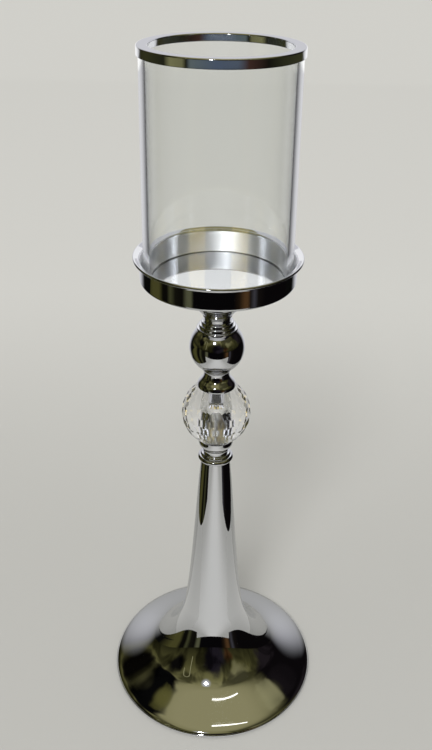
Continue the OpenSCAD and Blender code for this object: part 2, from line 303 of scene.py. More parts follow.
def add_mesh(name: str, verts: list, faces: list) -> Object:
    """Adds an object with a new mesh.

    Args:
        name: Name of the object and of its mesh.
        verts: Its points in metres.
        faces: Its faces.

    Returns:
        The object, at the origin of the frame.
    """
    mesh = bpy.data.meshes.new(name)
    mesh.from_pydata(verts, [], faces)
    return add_object(name, mesh)


def turned(name: str, outline: Path, height: float, spans: int = 192) -> Object:
    """Turns a closed half section into a solid with true normals.

    Args:
        name: Name of the object.
        outline: Radius and height of the section's points, counter-clockwise, in millimetres.
        height: Height that is added to the points.
        spans: Spans round the axis.

    Returns:
        The object, at the origin of the frame.
    """
    pts = np.array([p for i, p in enumerate(outline) if math.dist(p, outline[i - 1]) > TINY])
    ahead = np.roll(pts, -1, axis=0) - pts
    normals = np.stack([ahead[:, 1], -ahead[:, 0]], -1)
    normals = normals + np.roll(normals, 1, axis=0)
    normals /= np.linalg.norm(normals, axis=1)[:, None] + TINY**2
    angles = np.linspace(0, 2 * math.pi, spans, endpoint=False)
    verts, faces, shading, rings = [], [], [], []
    for (r, z), (nr, nz) in zip(pts, normals):
        ring = [len(verts)] * spans
        if r < TINY:
            verts.append(spot(0, 0, z + height))
            shading.append((0, 0, math.copysign(1, nz)))
        else:
            ring = list(range(len(verts), len(verts) + spans))
            verts += [spot(r, a, z + height) for a in angles]
            shading += [(nr * math.cos(a), nr * math.sin(a), nz) for a in angles]
        rings.append(ring)
    for low, high in zip(rings, rings[1:] + rings[:1]):
        for j in range(spans):
            k = (j + 1) % spans
            face = list(dict.fromkeys((low[j], low[k], high[k], high[j])))
            if len(face) > 2:
                faces.append(face)
    made = add_mesh(name, verts, faces)
    made.data.polygons.foreach_set("use_smooth", [True] * len(made.data.polygons))
    made.data.normals_split_custom_set_from_vertices(shading)
    return made


def tube(name: str, at: float, bore: Point, height: float, edge: float, spans: int = 128, steps: int = 5) -> Object:
    """Makes a plain tube, washer or disc with eased edges.

    Args:
        name: Name of the object.
        at: Height of its lower face.
        bore: Inner and outer radius.
        height: Length along the axis.
        edge: Radius of its edges.
        spans: Spans round the axis.
        steps: Spans of each edge.

    Returns:
        The object.
    """
    inner, outer = bore
    section = [(inner, 0), (outer, 0), (outer, height), (inner, height)]
    return turned(name, eased(section, edge, steps=steps), at, spans)


def level(node: str) -> float:
    """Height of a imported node's lowest point in millimetres."""
    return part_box(node)[0].z / MM


class Finish:
    """A finish: one procedural material, made once."""

    label: str

    def material(self) -> Material:
        """Finds the finish's material, or makes it at its first use.

        Returns:
            The material.
        """
        made = bpy.data.materials.get(self.label)
        if made is None:
            made = bpy.data.materials.new(self.label)
            nodes = Nodes(made)
            nodes.add("OutputMaterial", {"Surface": self.paint(nodes)})
        return made

    def paint(self, nodes: Nodes) -> Node:
        """Adds the finish's nodes.

        Args:
            nodes: The material's nodes.

        Returns:
            The shader node that feeds the surface.
        """
        raise NotImplementedError


@dataclass(frozen=True)
class ChromePlate(Finish):
    """Chromium plate over spun or turned metal, or steel that was turned bright.

    It gives the eye a neutral mirror, with faint tool lines round the axis, a slow wave in the sheet and a thin haze
    where hands have been. Spread draws its highlights out, and a quarter of a turn stands them upright.
    """

    label: str = "chromium_plate_polished"
    colour: str = "#E5E6EA"
    roughness: Point = (0.015, 0.06)
    spread: float = 0.5
    spread_turn: float = 0.25
    haze_mm: float = 17
    haze_range: Point = (0.42, 0.72)
    wave_mm: float = 26
    wave_depth_mm: float = 0.012
    line_mm: float = 0.8
    line_depth_mm: float = 0.0006

    def paint(self, nodes: Nodes) -> Node:
        """Adds the mirror, its haze, its wave and its tool lines.

        Args:
            nodes: The material's nodes.

        Returns:
            The shader node.
        """
        noise = {"Vector": nodes.place, "Scale": 1 / (self.haze_mm * MM), "Detail": 5.0, "Roughness": 0.6}
        haze = nodes.add("TexNoise", noise)
        swell = nodes.relief(nodes.place, self.wave_mm, self.wave_depth_mm, detail=1)
        # Tool lines run round the axis, so they follow the radius and the height alone
        flat = nodes.add("VectorMath", (nodes.place, (1, 1, 0)), operation="MULTIPLY")
        radius = nodes.add("VectorMath", (flat,), operation="LENGTH").outputs["Value"]
        height = nodes.add("SeparateXYZ", (nodes.place,)).outputs["Z"]
        around = nodes.add("CombineXYZ", {"X": radius, "Z": height})
        metal = {
            "Base Color": linear(self.colour),
            "Metallic": 1.0,
            "Roughness": nodes.add("MapRange", (haze, *self.haze_range, *self.roughness)),
            "Anisotropic": self.spread,
            "Anisotropic Rotation": self.spread_turn,
            "Tangent": nodes.add("Tangent", direction_type="RADIAL", axis="Z"),
            # Drawn coarser than a tool or a polishing wheel leaves them, so that the lines show
            "Normal": nodes.relief(around, self.line_mm, self.line_depth_mm, detail=2, under=swell),
        }
        return nodes.add("BsdfPrincipled", metal)


@dataclass(frozen=True)
class ClearGlass(Finish):
    """Clear glass, drawn as a tube or cut facet by facet.

    It gives the eye clear windows with a faint relief: soft lines along the draw, or the mark of the wheel.
    """

    label: str
    colour: str
    ior: float
    mark_mm: float
    mark_depth_mm: float
    detail: float
    draw_ratio: float = 1

    def paint(self, nodes: Nodes) -> Node:
        """Adds the clear glass and its relief.

        Args:
            nodes: The material's nodes.

        Returns:
            The shader node.
        """
        drawn = nodes.add("Mapping", {"Vector": nodes.place, "Scale": (1, 1, self.draw_ratio)})
        clear = {
            "Base Color": linear(self.colour),
            "Roughness": 0.0,
            "IOR": self.ior,
            "Transmission Weight": 1.0,
            "Normal": nodes.relief(drawn, self.mark_mm, self.mark_depth_mm, self.detail),
        }
        return nodes.add("BsdfPrincipled", clear)


@dataclass(frozen=True)
class PlainMetal(Finish):
    """Bare or plated metal off a machine or out of a mould.

    It gives the eye a grey metal with a mottled shine and a fine grain.
    """

    label: str
    colour: str
    dark: str
    roughness: Point
    mottle_mm: float = 3
    grain_mm: float = 0.5
    grain_depth_mm: float = 0.01

    def paint(self, nodes: Nodes) -> Node:
        """Adds the mottled metal and its grain.

        Args:
            nodes: The material's nodes.

        Returns:
            The shader node.
        """
        mottle = nodes.add("TexNoise", {"Vector": nodes.place, "Scale": 1 / (self.mottle_mm * MM), "Detail": 4.0})
        metal = {
            "Base Color": nodes.add("ValToRGB", (mottle,), ((0, self.dark), (1, self.colour))),
            "Metallic": 1.0,
            "Roughness": nodes.add("MapRange", (mottle, 0, 1, *self.roughness)),
            "Normal": nodes.relief(nodes.place, self.grain_mm, self.grain_depth_mm, detail=3),
        }
        return nodes.add("BsdfPrincipled", metal)


@dataclass(frozen=True)
class SoftPolymer(Finish):
    """A soft clear or milky polymer, moulded or punched.

    It gives the eye a dull translucent edge without texture of its own, only a slight cloud.
    """

    label: str
    colour: str
    cloud: str
    roughness: float
    ior: float
    clear: float
    cloud_mm: float = 2

    def paint(self, nodes: Nodes) -> Node:
        """Adds the clouded polymer.

        Args:
            nodes: The material's nodes.

        Returns:
            The shader node.
        """
        mist = nodes.add("TexNoise", {"Vector": nodes.place, "Scale": 1 / (self.cloud_mm * MM), "Detail": 3.0})
        soft = {
            "Base Color": nodes.add("ValToRGB", (mist,), ((0, self.cloud), (1, self.colour))),
            "Roughness": self.roughness,
            "IOR": self.ior,
            "Transmission Weight": self.clear,
        }
        return nodes.add("BsdfPrincipled", soft)


@dataclass(frozen=True)
class PressedFelt(Finish):
    """Wool felt, pressed and dyed.

    It gives the eye a dull dark nap of tangled fibres with lighter flecks.
    """

    label: str = "wool_felt_pressed"
    colour: str = "#3C3E40"
    fleck: str = "#5A5C5D"
    roughness: float = 0.95
    sheen: float = 0.3
    fibre_mm: float = 0.6
    tangle: float = 1.2
    nap_depth_mm: float = 0.15

    def paint(self, nodes: Nodes) -> Node:
        """Adds the nap and its flecks.

        Args:
            nodes: The material's nodes.

        Returns:
            The shader node.
        """
        noise = {"Vector": nodes.place, "Scale": 1 / (self.fibre_mm * MM), "Detail": 6.0, "Distortion": self.tangle}
        fibre = nodes.add("TexNoise", noise)
        nap = {"Strength": 1.0, "Distance": self.nap_depth_mm * MM, "Height": fibre}
        wool = {
            "Base Color": nodes.add("ValToRGB", (fibre,), ((0, self.colour), (1, self.fleck))),
            "Roughness": self.roughness,
            "Sheen Weight": self.sheen,
            "Normal": nodes.add("Bump", nap),
        }
        return nodes.add("BsdfPrincipled", wool)


CHROME = ChromePlate()
# The same plate over an inside that was spun and never buffed: its lines draw each light out lengthwise
SPUN_CHROME = ChromePlate("chromium_plate_as_spun", roughness=(0.5, 0.6), spread=1, line_mm=1.2, line_depth_mm=0.004)
# Steel tube, turned bright and not plated: its lines draw each tone out along the tube
SLEEVE_STEEL = ChromePlate(
    "mild_steel_turned_bright", "#DEE0E3", roughness=(0.4, 0.5), spread=0.95, line_depth_mm=0.001
)
# Borosilicate glass, drawn as a tube: clear, with a faint cool tint at its edges and soft lines along the draw
GLASS = ClearGlass(
    "borosilicate_glass_drawn", "#FEFFFE", ior=1.47, mark_mm=3.5, mark_depth_mm=0.0007, detail=2, draw_ratio=0.02
)
# Optical glass, cut and polished: clear flat windows with the faintest wheel mark
CRYSTAL = ClearGlass("optical_glass_cut", "#FFFFFF", ior=1.53, mark_mm=4, mark_depth_mm=0.0008, detail=1)
FELT = PressedFelt()
# Zinc plate over rolled or turned steel: pale and slightly blue, with a spangled shine
ZINC = PlainMetal("zinc_plate_on_steel", "#C3C8CC", "#A3A8AD", roughness=(0.4, 0.22))
# Grey iron out of a sand mould: dark, dull and pitted
IRON = PlainMetal("grey_iron_sand_cast", "#55575A", "#3A3B3D", roughness=(0.8, 0.55), grain_depth_mm=0.08)
# Silicone rubber, moulded: milky and matt
SILICONE = SoftPolymer("silicone_rubber_moulded", "#EEEFEC", "#DCDEDA", roughness=0.4, ior=1.42, clear=0.3)
# Soft vinyl, punched from sheet: clear with a slight cloud
VINYL = SoftPolymer("soft_vinyl_punched", "#F4F5F3", "#E6E8E5", roughness=0.25, ior=1.53, clear=0.8)


def settle(
    piece: Object, node: str, finish: Finish = CHROME, body: Body = Body.COLUMN
) -> None:
    """Gives a new piece its finish and its place in the frame.

    Args:
        piece: The piece.
        node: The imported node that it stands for.
        finish: Its finish.
        body: The body that it rides on.
    """
    piece.data.materials.clear()
    piece.data.materials.append(finish.material())
    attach(piece, body.value)
    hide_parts(node)
    log.info("%s rides on %s", piece.name, body.value)


def coat(node: str, finish: Finish) -> None:
    """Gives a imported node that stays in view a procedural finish.

    Args:
        node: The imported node.
        finish: Its finish.
    """
    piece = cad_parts[node]
    piece.data.materials.clear()
    piece.data.materials.append(finish.material())
    log.info("%s keeps its packed shape", node)


@dataclass
class Clamped:
    """Sizes that the pieces on the tie rod share."""

    hole_r: float = 4.25
    neck_r: float = 10.4
    waist_r: float = 9.2
    edge: float = 0.18


@dataclass
class Foot(Clamped):
    """The spun foot and stem, the weight inside it and the felt below it.

    A pull or a push is the share of a stretch that the handle of a curve takes.
    """

    foot_r: float = 80
    stem_h: float = 202.2
    stem_top_r: float = 10.2
    stem_swell_r: float = 13.8
    stem_swell_drop: float = 28
    stem_low_r: float = 23
    stem_pull: float = 0.27
    stem_taper: float = 0.16
    flare_z: float = 60
    flare_push: float = 0.32
    brow_z: float = 17.4
    brow_slope: float = 0.75
    brow_pull: float = 0.56
    brow_push: float = 0.2
    apron_w: float = 24
    apron_z: float = 6.9
    apron_slope: float = 0.4
    apron_pull: float = 0.35
    roll_w: float = 8
    roll_push: float = 0.45
    roll_pull: float = 0.09
    roll_drop: float = 0.25
    hem_r: float = 1.2
    hem_lift: float = 0.4
    hem_meet: Point = (0.3, 1.4)
    hem_steps: int = 28
    curve_steps: tuple[int, ...] = (60, 40, 40, 40)
    foot_t: float = 1.2
    stem_top_t: float = 2
    edge: float = 0.25
    spans: int = 224
    felt_t: float = 2
    felt_gap: float = 1.6
    felt_edge: float = 0.5
    felt_spans: int = 160

    def outer(self) -> Path:
        """Draws the outer face of the stem and foot.

        Returns:
            The points from the top face to the hem.
        """
        apron_r = self.foot_r - self.roll_w
        brow_r = apron_r - self.apron_w
        low = (self.stem_h - self.flare_z) * self.stem_pull
        flare = (self.flare_z - self.brow_z) * self.flare_push
        brow = (brow_r - self.stem_low_r) * self.brow_pull
        out = self.apron_w * self.brow_push
        apron = self.apron_w * self.apron_pull
        roll = self.roll_w * self.roll_push
        hem = (self.foot_r - self.hem_meet[0] * self.hem_r, self.hem_lift + self.hem_meet[1] * self.hem_r)
        knots = [
            (self.stem_top_r, self.stem_h),
            (self.stem_swell_r, self.stem_h - self.stem_swell_drop),
            (self.stem_low_r - low * self.stem_taper, self.flare_z + low),
            (self.stem_low_r, self.flare_z),
            (self.stem_low_r + flare * self.stem_taper, self.flare_z - flare),
            (brow_r - brow, self.brow_z + brow * self.brow_slope),
            (brow_r, self.brow_z),
            (brow_r + out, self.brow_z - out * self.brow_slope),
            (apron_r - apron, self.apron_z + apron * self.apron_slope),
            (apron_r, self.apron_z),
            (apron_r + roll, self.apron_z - roll * self.apron_slope),
            (self.foot_r - self.roll_w * self.roll_pull, hem[1] + self.roll_w * self.roll_drop),
            hem,
        ]
        curves = [cubic(*knots[3 * i : 3 * i + 4], steps) for i, steps in enumerate(self.curve_steps)]
        return [p for curve in curves for p in curve[:-1]] + [hem]

    def foot(self) -> Object:
        """Makes the foot and stem with their hem.

        Returns:
            The foot.
        """
        hem = (self.foot_r - self.hem_r, self.hem_lift + self.hem_r)
        outer = self.outer()
        under = self.stem_h - self.stem_top_t
        free = [p for p in outer if math.dist(p, hem) > self.hem_r]
        back = [p for p in beside(outer, -self.foot_t) if math.dist(p, hem) > self.hem_r and p[1] < under]
        bead = arc(hem, self.hem_r, bearing(hem, free[-1]), bearing(hem, back[-1]) - 360, self.hem_steps)
        section = [(self.hole_r, self.stem_h)] + free + bead + back[::-1] + [(self.hole_r, under)]
        return turned("foot_shell", eased(section[::-1], self.edge), 0, self.spans)

    def dress(self) -> None:
        """Builds the pieces, finishes them and coats the weight."""
        settle(self.foot(), "stem_base")
        felt_r = self.foot_r - 2 * self.hem_r - self.felt_gap
        felt = tube("felt_base", 0, (0, felt_r), self.felt_t, self.felt_edge, self.felt_spans)
        settle(felt, "felt_pad", FELT)
        coat("base_weight", IRON)


@dataclass
class TieRod:
    """The rod that draws the column together, with its fasteners."""

    nodes: tuple[str, ...] = ("tie_rod", "rod_nut", "lock_washer", "rod_washer")

    def dress(self) -> None:
        """Coats the hidden pieces."""
        for name in self.nodes:
            coat(name, ZINC)


@dataclass
class TurnedColumn(Clamped):
    """The turned collars and necks between the stem and the dish.

    A seat is the height of the lowest bead's middle as a share of its radius.
    """

    neck_h: float = 4.3
    neck_bead: float = 0.6
    neck_steps: int = 24
    cove_r: float = 7.5
    stem_collar_h: float = 7.4
    stem_collar_r: float = 12.9
    large_bead: float = 2
    small_bead_r: float = 11.1
    small_bead: float = 1.5
    bead_seat: float = 0.9
    bead_rise: float = 2.7
    collar_lap: float = 2
    collar_bore: float = 10.76
    ball_r: float = 19.4
    ball_t: float = 1.2
    ball_flat_r: float = 13.6
    ball_steps: int = 96
    ball_collar_h: float = 7.35
    ball_collar_r: float = 14.5
    steps: int = 3
    step_edge: float = 1.1
    step_seat: float = 0.65
    step_out: float = 1.6
    step_drop: float = 2.4

    def neck(self, node: str) -> Object:
        """Makes a neck with a cove below a bead.

        Args:
            node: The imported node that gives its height.

        Returns:
            The neck.
        """
        face = self.neck_r - self.neck_bead
        meet = math.degrees(math.acos((face - self.waist_r - self.cove_r) / self.cove_r))
        cove = arc((self.waist_r + self.cove_r, 0), self.cove_r, 180, meet, self.neck_steps)
        bead = arc((face, self.neck_h - self.neck_bead), self.neck_bead, -90, 90, self.neck_steps)
        section = [(self.hole_r, 0)] + cove + bead + [(self.hole_r, self.neck_h)]
        return turned(f"{node}_turned", eased(section, self.edge), level(node))

    def stem_collar(self) -> Object:
        """Makes the collar of two beads on the stem.

        Returns:
            The collar.
        """
        high, seat = self.stem_collar_h, self.bead_seat * self.large_bead
        large = ((self.stem_collar_r - self.large_bead, seat), self.large_bead)
        small = ((self.small_bead_r - self.small_bead, seat + self.bead_rise), self.small_bead)
        section = [(self.collar_bore, 0)] + envelope([large, small], self.waist_r, high) + [(self.hole_r, high)]
        section += [(self.hole_r, self.collar_lap), (self.collar_bore, self.collar_lap)]
        return turned("stem_collar_turned", eased(section, self.edge), level("stem_collar"))

    def ball(self) -> Object:
        """Makes the hollow ball, flat where its neighbours bear on it.

        Returns:
            The ball.
        """
        inside = self.ball_r - self.ball_t
        drop = math.sqrt(self.ball_r**2 - self.neck_r**2)
        rise = math.sqrt(self.ball_r**2 - self.ball_flat_r**2)
        low, high = (math.degrees(math.asin(z / self.ball_r)) for z in (-drop, rise))
        floor, roof = (math.degrees(math.asin(z / inside)) for z in (self.ball_t - drop, rise - self.ball_t))
        section = [(self.hole_r, -drop)] + arc((0, 0), self.ball_r, low, high, self.ball_steps)
        section += [(self.hole_r, rise), (self.hole_r, rise - self.ball_t)]
        section += arc((0, 0), inside, roof, floor, self.ball_steps // 2) + [(self.hole_r, self.ball_t - drop)]
        return turned("chrome_ball", eased(section, self.edge), level("metal_ball") + drop)

    def ball_collar(self) -> Object:
        """Makes the collar of round-edged steps on the ball.

        Returns:
            The collar.
        """
        section = [(self.hole_r, 0)]
        for i in range(self.steps):
            mid_r = self.ball_collar_r - self.step_edge - i * self.step_out
            mid_z = self.step_seat * self.step_edge + i * self.step_drop
            low = mid_z - self.step_drop + self.step_edge if i else 0
            section += [(mid_r + self.step_edge, low)] + arc((mid_r, mid_z), self.step_edge, 0, 90)
        section += [(self.waist_r, self.ball_collar_h), (self.hole_r, self.ball_collar_h)]
        return turned("ball_collar_turned", eased(section, self.edge), level("ball_collar"))

    def dress(self) -> None:
        """Builds the turned pieces and finishes them."""
        for node in ("lower_neck", "middle_neck", "upper_neck"):
            settle(self.neck(node), node)
        settle(self.stem_collar(), "stem_collar")
        settle(self.ball(), "metal_ball")
        settle(self.ball_collar(), "ball_collar")


@dataclass
class Crystal(Clamped):
    """The cut crystal on its sleeve, with its cup, its cap and the soft washers between them.

    The handles of the cup's and the cap's curves are shares of their heights.
    """

    crystal_r: float = 24.5
    columns: int = 20
    rows: int = 8
    row_angle: float = 15
    pole_r: float = 11.4
    bore_spans: int = 80
    sleeve_r: float = 7.1
    sleeve_gap: float = 0.3
    sleeve_edge: float = 0.3
    soft_t: float = 1
    soft_inset: float = 0.6
    soft_edge: float = 0.2
    cap_r: float = 13.6
    cap_h: float = 10.3
    cap_brim: float = 0.05
    cap_sweep: float = 0.48
    cap_steps: int = 60
    cup_r: float = 12.8
    cup_h: float = 6.6
    cup_handles: Point = (0.1, 0.5)
    rim_lap: float = 0.3
    crystal_gap: float = 0.25

    @property
    def half_step(self) -> float:
        """Half the angle between the facets of a row, in radians."""
        return math.pi / self.columns

    @property
    def pole_angle(self) -> float:
        """Latitude of the outermost rows, in radians."""
        return math.radians(self.row_angle * (self.rows - 1) / 2)

    @property
    def pole_h(self) -> float:
        """Height of each flat pole over the middle."""
        reach = self.pole_r * math.cos(self.pole_angle) * math.cos(self.half_step)
        return (self.crystal_r - reach) / math.sin(self.pole_angle)

    @property
    def well_r(self) -> float:
        """Radius of the wells in the cup and the cap."""
        return self.pole_r + self.rim_lap * math.tan(self.pole_angle) / math.cos(self.half_step) + self.crystal_gap

    def corner(self, row: int, p: float, q: float) -> Point:
        """Finds where two rows of facets meet.

        Args:
            row: The lower row.
            p: Angle off the lower row's facet, in radians.
            q: Angle off the upper row's facet, in radians.

        Returns:
            Radius and height of the corner.
        """
        at, up = (math.radians(self.row_angle * (i - (self.rows - 1) / 2)) for i in (row, row + 1))
        c, s = math.cos(at) * math.cos(p), math.sin(at)
        d, e = math.cos(up) * math.cos(q), math.sin(up)
        share = self.crystal_r / (c * e - d * s)
        return (share * (e - s), share * (c - d))

    def ball(self) -> Object:
        """Makes the faceted crystal with its bore.

        Returns:
            The crystal.
        """
        half, rows, n, spans = self.half_step, self.rows, self.columns, self.bore_spans
        rings = [((self.pole_r, -self.pole_h), 1)]
        for i in range(rows - 1):
            rings += [(self.corner(i, half, 0), 1 + i % 2), (self.corner(i, 0, half), i % 2)]
        rings += [((self.pole_r, self.pole_h), 1 + (rows - 1) % 2)]
        middle = level("crystal_ball") + self.pole_h
        cut = bmesh.new()

        def ring_of(radius: float, height: float, turn: float, count: int) -> list[bmesh.types.BMVert]:
            """Adds one ring of corners and returns it."""
            angles = [2 * math.pi * j / count + turn for j in range(count)]
            return [cut.verts.new(spot(radius, a, middle + height)) for a in angles]

        corners = [ring_of(*at, half * turn, n) for at, turn in rings]
        for i in range(rows):
            for j in range(n):
                k, low, high = j - 1 + i % 2, corners[2 * i], corners[2 * i + 1]
                face = [low[j - 1] if i == 0 else low[k % n], high[j - 1]]
                face += [] if i == rows - 1 else [corners[2 * i + 2][j]]
                face += [high[j]]
                face += [low[j]] if i == 0 else [low[(k + 1) % n], corners[2 * i - 1][k % n]]
                cut.faces.new(face[::-1])
        walls = []
        for side in (-1, 1):
            height = (middle + side * self.pole_h) * MM
            edges = [e for e in cut.edges if e.is_boundary and all(abs(v.co.z - height) < TINY for v in e.verts)]
            hole = ring_of(self.sleeve_r + self.sleeve_gap, side * self.pole_h, 0, spans)
            edges += [cut.edges.new((hole[j - 1], hole[j])) for j in range(spans)]
            bmesh.ops.triangle_fill(cut, use_beauty=True, use_dissolve=False, edges=edges, normal=(0, 0, side))
            walls.append(hole)
        for j in range(spans):
            face = cut.faces.new((walls[0][j - 1], walls[1][j - 1], walls[1][j], walls[0][j]))
            face.smooth = True
        bmesh.ops.recalc_face_normals(cut, faces=cut.faces)
        mesh = bpy.data.meshes.new("crystal_cut")
        cut.to_mesh(mesh)
        cut.free()
        return add_object("crystal_cut", mesh)

    def cup(self) -> Object:
        """Makes the cup below the crystal.

        Returns:
            The cup.
        """
        r, high = self.cup_r, self.cup_h
        well = high - self.soft_t - self.rim_lap
        handles = [(r, share * high) for share in self.cup_handles]
        section = [(self.hole_r, 0)] + cubic((self.neck_r, 0), *handles, (r, high))
        section += [(self.well_r, high), (self.well_r, well), (self.hole_r, well)]
        return turned("crystal_cup_turned", eased(section, self.edge), level("crystal_cup"))

    def cap(self) -> Object:
        """Makes the cap over the crystal.

        Returns:
            The cap.
        """
        r, waist, high = self.cap_r, self.waist_r, self.cap_h
        well, sweep = self.soft_t + self.rim_lap, self.cap_sweep * high
        section = [(self.hole_r, well), (self.well_r, well), (self.well_r, 0), (r, 0)]
        section += cubic((r, self.cap_brim * high), (r, sweep), (waist, sweep), (waist, high), self.cap_steps)
        section += [(self.hole_r, high)]
        return turned("crystal_cap_turned", eased(section, self.edge), level("crystal_cap"))

    def dress(self) -> None:
        """Builds the crystal and its holders and finishes them."""
        settle(self.ball(), "crystal_ball", CRYSTAL)
        settle(self.cup(), "crystal_cup")
        settle(self.cap(), "crystal_cap")
        node, length = "crystal_sleeve", 2 * (self.pole_h + self.soft_t)
        sleeve = tube(f"{node}_tube", level(node), (self.hole_r, self.sleeve_r), length, self.sleeve_edge)
        settle(sleeve, node, SLEEVE_STEEL)
        bore = (self.sleeve_r + self.sleeve_gap, self.pole_r - self.soft_inset)
        for node in ("lower_washer", "upper_washer"):
            soft = tube(f"{node}_soft", level(node), bore, self.soft_t, self.soft_edge)
            settle(soft, node, VINYL)


@dataclass
class Dish(Clamped):
    """The dish that holds the candle and the shade, its support and the boss inside that."""

    support_h: float = 25.4
    support_r: float = 18
    support_cone_h: float = 8.8
    support_top_r: float = 22
    support_t: float = 1.2
    support_lean: float = 0.2
    support_pull: float = 0.3
    wall_r: float = 52.4
    dish_t: float = 1.1
    dish_h: float = 18
    lip_w: float = 4.4
    lip_turn: float = 2.4
    lip_rise: float = 0.8
    lip_bead: float = 0.9
    lip_bend: float = 75
    lip_open: float = 25
    lip_steps: int = 24
    floor_corner: float = 2.2
    floor_lap: float = 0.3
    edge: float = 0.2
    edge_turn: float = 40
    spans: int = 224

    def support(self) -> Object:
        """Makes the flared support under the dish.

        Returns:
            The support.
        """
        r, cone, high, t = self.support_r, self.support_cone_h, self.support_h, self.support_t
        handles = [(r + k * self.support_lean, cone + k * self.support_pull * (high - cone)) for k in (1, 2)]
        path = [(self.neck_r, 0)] + cubic((r, cone), *handles, (self.support_top_r, high))
        inner = [p for p in beside(path, t) if t < p[1] < high]
        section = [(self.hole_r, 0)] + path + [(inner[-1][0], high)] + inner[::-1]
        section += [(self.neck_r - t, t), (self.hole_r, t)]
        return turned("dish_support_spun", eased(section, self.edge), level("dish_support"))

    def dish(self) -> Object:
        """Makes the dish with its turned lip.

        Returns:
            The dish.
        """
        wall, corner, turn = self.wall_r, self.floor_corner, self.lip_turn
        bead = (wall + self.lip_w - self.lip_bead, self.dish_h - self.lip_bead)
        turn_z = self.dish_h - self.lip_rise - self.dish_t - turn
        path = [(0, 0)] + arc((wall - corner, corner), corner, -90, 0)
        path += arc((wall + turn, turn_z), turn, 180, 180 - self.lip_bend) + [(bead[0], self.dish_h - self.dish_t)]
        outside = [p for p in path if math.dist(p, bead) > self.lip_bead]
        inside = [p for p in beside(path, self.dish_t) if math.dist(p, bead) > self.lip_bead]
        inside[0] = (0, self.dish_t)
        first, last = (bearing(bead, p) for p in (outside[-1], inside[-1]))
        first = first - 360 if first > 0 else first
        lip = arc(bead, self.lip_bead, first + self.lip_open, last - self.lip_open, self.lip_steps)
        section = eased(outside + lip + inside[::-1], self.edge, self.edge_turn)
        return turned("candle_dish_spun", section, level("candle_dish"), self.spans)

    def inside_wall(self, at: Vector, low: float) -> bool:
        """Whether a face whose middle is at this point belongs to the inside wall of the dish on height low."""
        within = at.xy.length / MM < self.wall_r - self.dish_t / 2
        return within and at.z / MM - low > self.dish_t + self.floor_lap

    def dress(self) -> None:
        """Builds the dish and its support, finishes them and coats the boss."""
        settle(self.support(), "dish_support")
        dish = self.dish()
        settle(dish, "candle_dish")
        dish.data.materials.append(SPUN_CHROME.material())
        low = level("candle_dish")
        for face in dish.data.polygons:
            face.material_index = int(self.inside_wall(face.center, low))
        coat("dish_boss", ZINC)


@dataclass
class Shade:
    """The loose glass with the chrome ring round its top."""

    glass_r: float = 50
    glass_t: float = 4
    glass_h: float = 150
    glass_edge: float = 1.1
    glass_edge_steps: int = 8
    ring_out: float = 51.3
    ring_in: float = 44.15
    ring_t: float = 1
    ring_skirt: float = 6
    ring_lip: float = 5
    ring_corner: float = 0.95
    ring_corner_steps: int = 10
    ring_edge: float = 0.3
    seal_top: float = 1
    seal_inset: float = 1.2
    seal_edge: float = 0.12
    spans: int = 256

    def glass(self) -> Object:
        """Makes the glass with fire-polished edges.

        Returns:
            The glass.
        """
        bore, low = (self.glass_r - self.glass_t, self.glass_r), level("glass_cylinder")
        return tube("shade_glass", low, bore, self.glass_h, self.glass_edge, self.spans, self.glass_edge_steps)

    def ring(self) -> Object:
        """Makes the ring that caps the glass.

        Returns:
            The ring.
        """
        out, inn, t, corner, steps = self.ring_out, self.ring_in, self.ring_t, self.ring_corner, self.ring_corner_steps
        section = arc((out - corner, -corner), corner, 0, 90, steps)
        section += arc((inn + corner, -corner), corner, 90, 180, steps)
        section += [(inn, -self.ring_lip), (inn + t, -self.ring_lip), (inn + t, -t)]
        section += [(out - t, -t), (out - t, -self.ring_skirt), (out, -self.ring_skirt)]
        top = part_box("rim_ring")[1].z / MM
        return turned("shade_ring", eased(section, self.ring_edge), top, self.spans)

    def seal(self) -> Object:
        """Makes the seal between the ring and the glass.

        Returns:
            The seal.
        """
        deep = self.ring_lip - self.ring_t - self.seal_inset
        inner, outer = self.ring_in + self.ring_t, self.ring_out - self.ring_t
        groove, wall = self.glass_r - self.glass_t, self.glass_r
        section = [(inner, 0), (groove, 0), (groove, deep - self.seal_top), (wall, deep - self.seal_top)]
        section += [(wall, 0), (outer, 0), (outer, deep), (inner, deep)]
        return turned("shade_seal", eased(section, self.seal_edge), level("rim_seal"))

    def dress(self) -> None:
        """Builds the shade and finishes it."""
        glass = self.glass()
        settle(glass, "glass_cylinder", GLASS, Body.SHADE)
        glass.visible_shadow = False
        settle(self.ring(), "rim_ring", CHROME, Body.SHADE)
        settle(self.seal(), "rim_seal", SILICONE, Body.SHADE)


@dataclass(frozen=True)
class TableTop(Finish):
    """Matt laminate: pale grey, paler towards the back, with a very slight cloud."""

    label: str = "laminate_matt"
    near: str = "#BBBAB6"
    far: str = "#D0CFCB"
    fade_y: Point = (0.05, 0.8)
    cloud_mm: float = 140
    cloud_share: float = 0.06
    roughness: float = 0.9
    shine: float = 0.2

    def paint(self, nodes: Nodes) -> Node:
        """Adds the clouded laminate.

        Args:
            nodes: The material's nodes.

        Returns:
            The shader node.
        """
        mist = nodes.add("TexNoise", {"Vector": nodes.place, "Scale": 1 / (self.cloud_mm * MM), "Detail": 3.0})
        depth = nodes.add("SeparateXYZ", (nodes.place,)).outputs["Y"]
        back = nodes.add("MapRange", (depth, *self.fade_y), **SMOOTH)
        shade = nodes.add("Math", (mist, self.cloud_share, back), operation="MULTIPLY_ADD")
        colour = nodes.add("ValToRGB", (shade,), ((0, self.near), (1, self.far)))
        matt = {"Base Color": colour, "Roughness": self.roughness, "Specular IOR Level": self.shine}
        return nodes.add("BsdfPrincipled", matt)


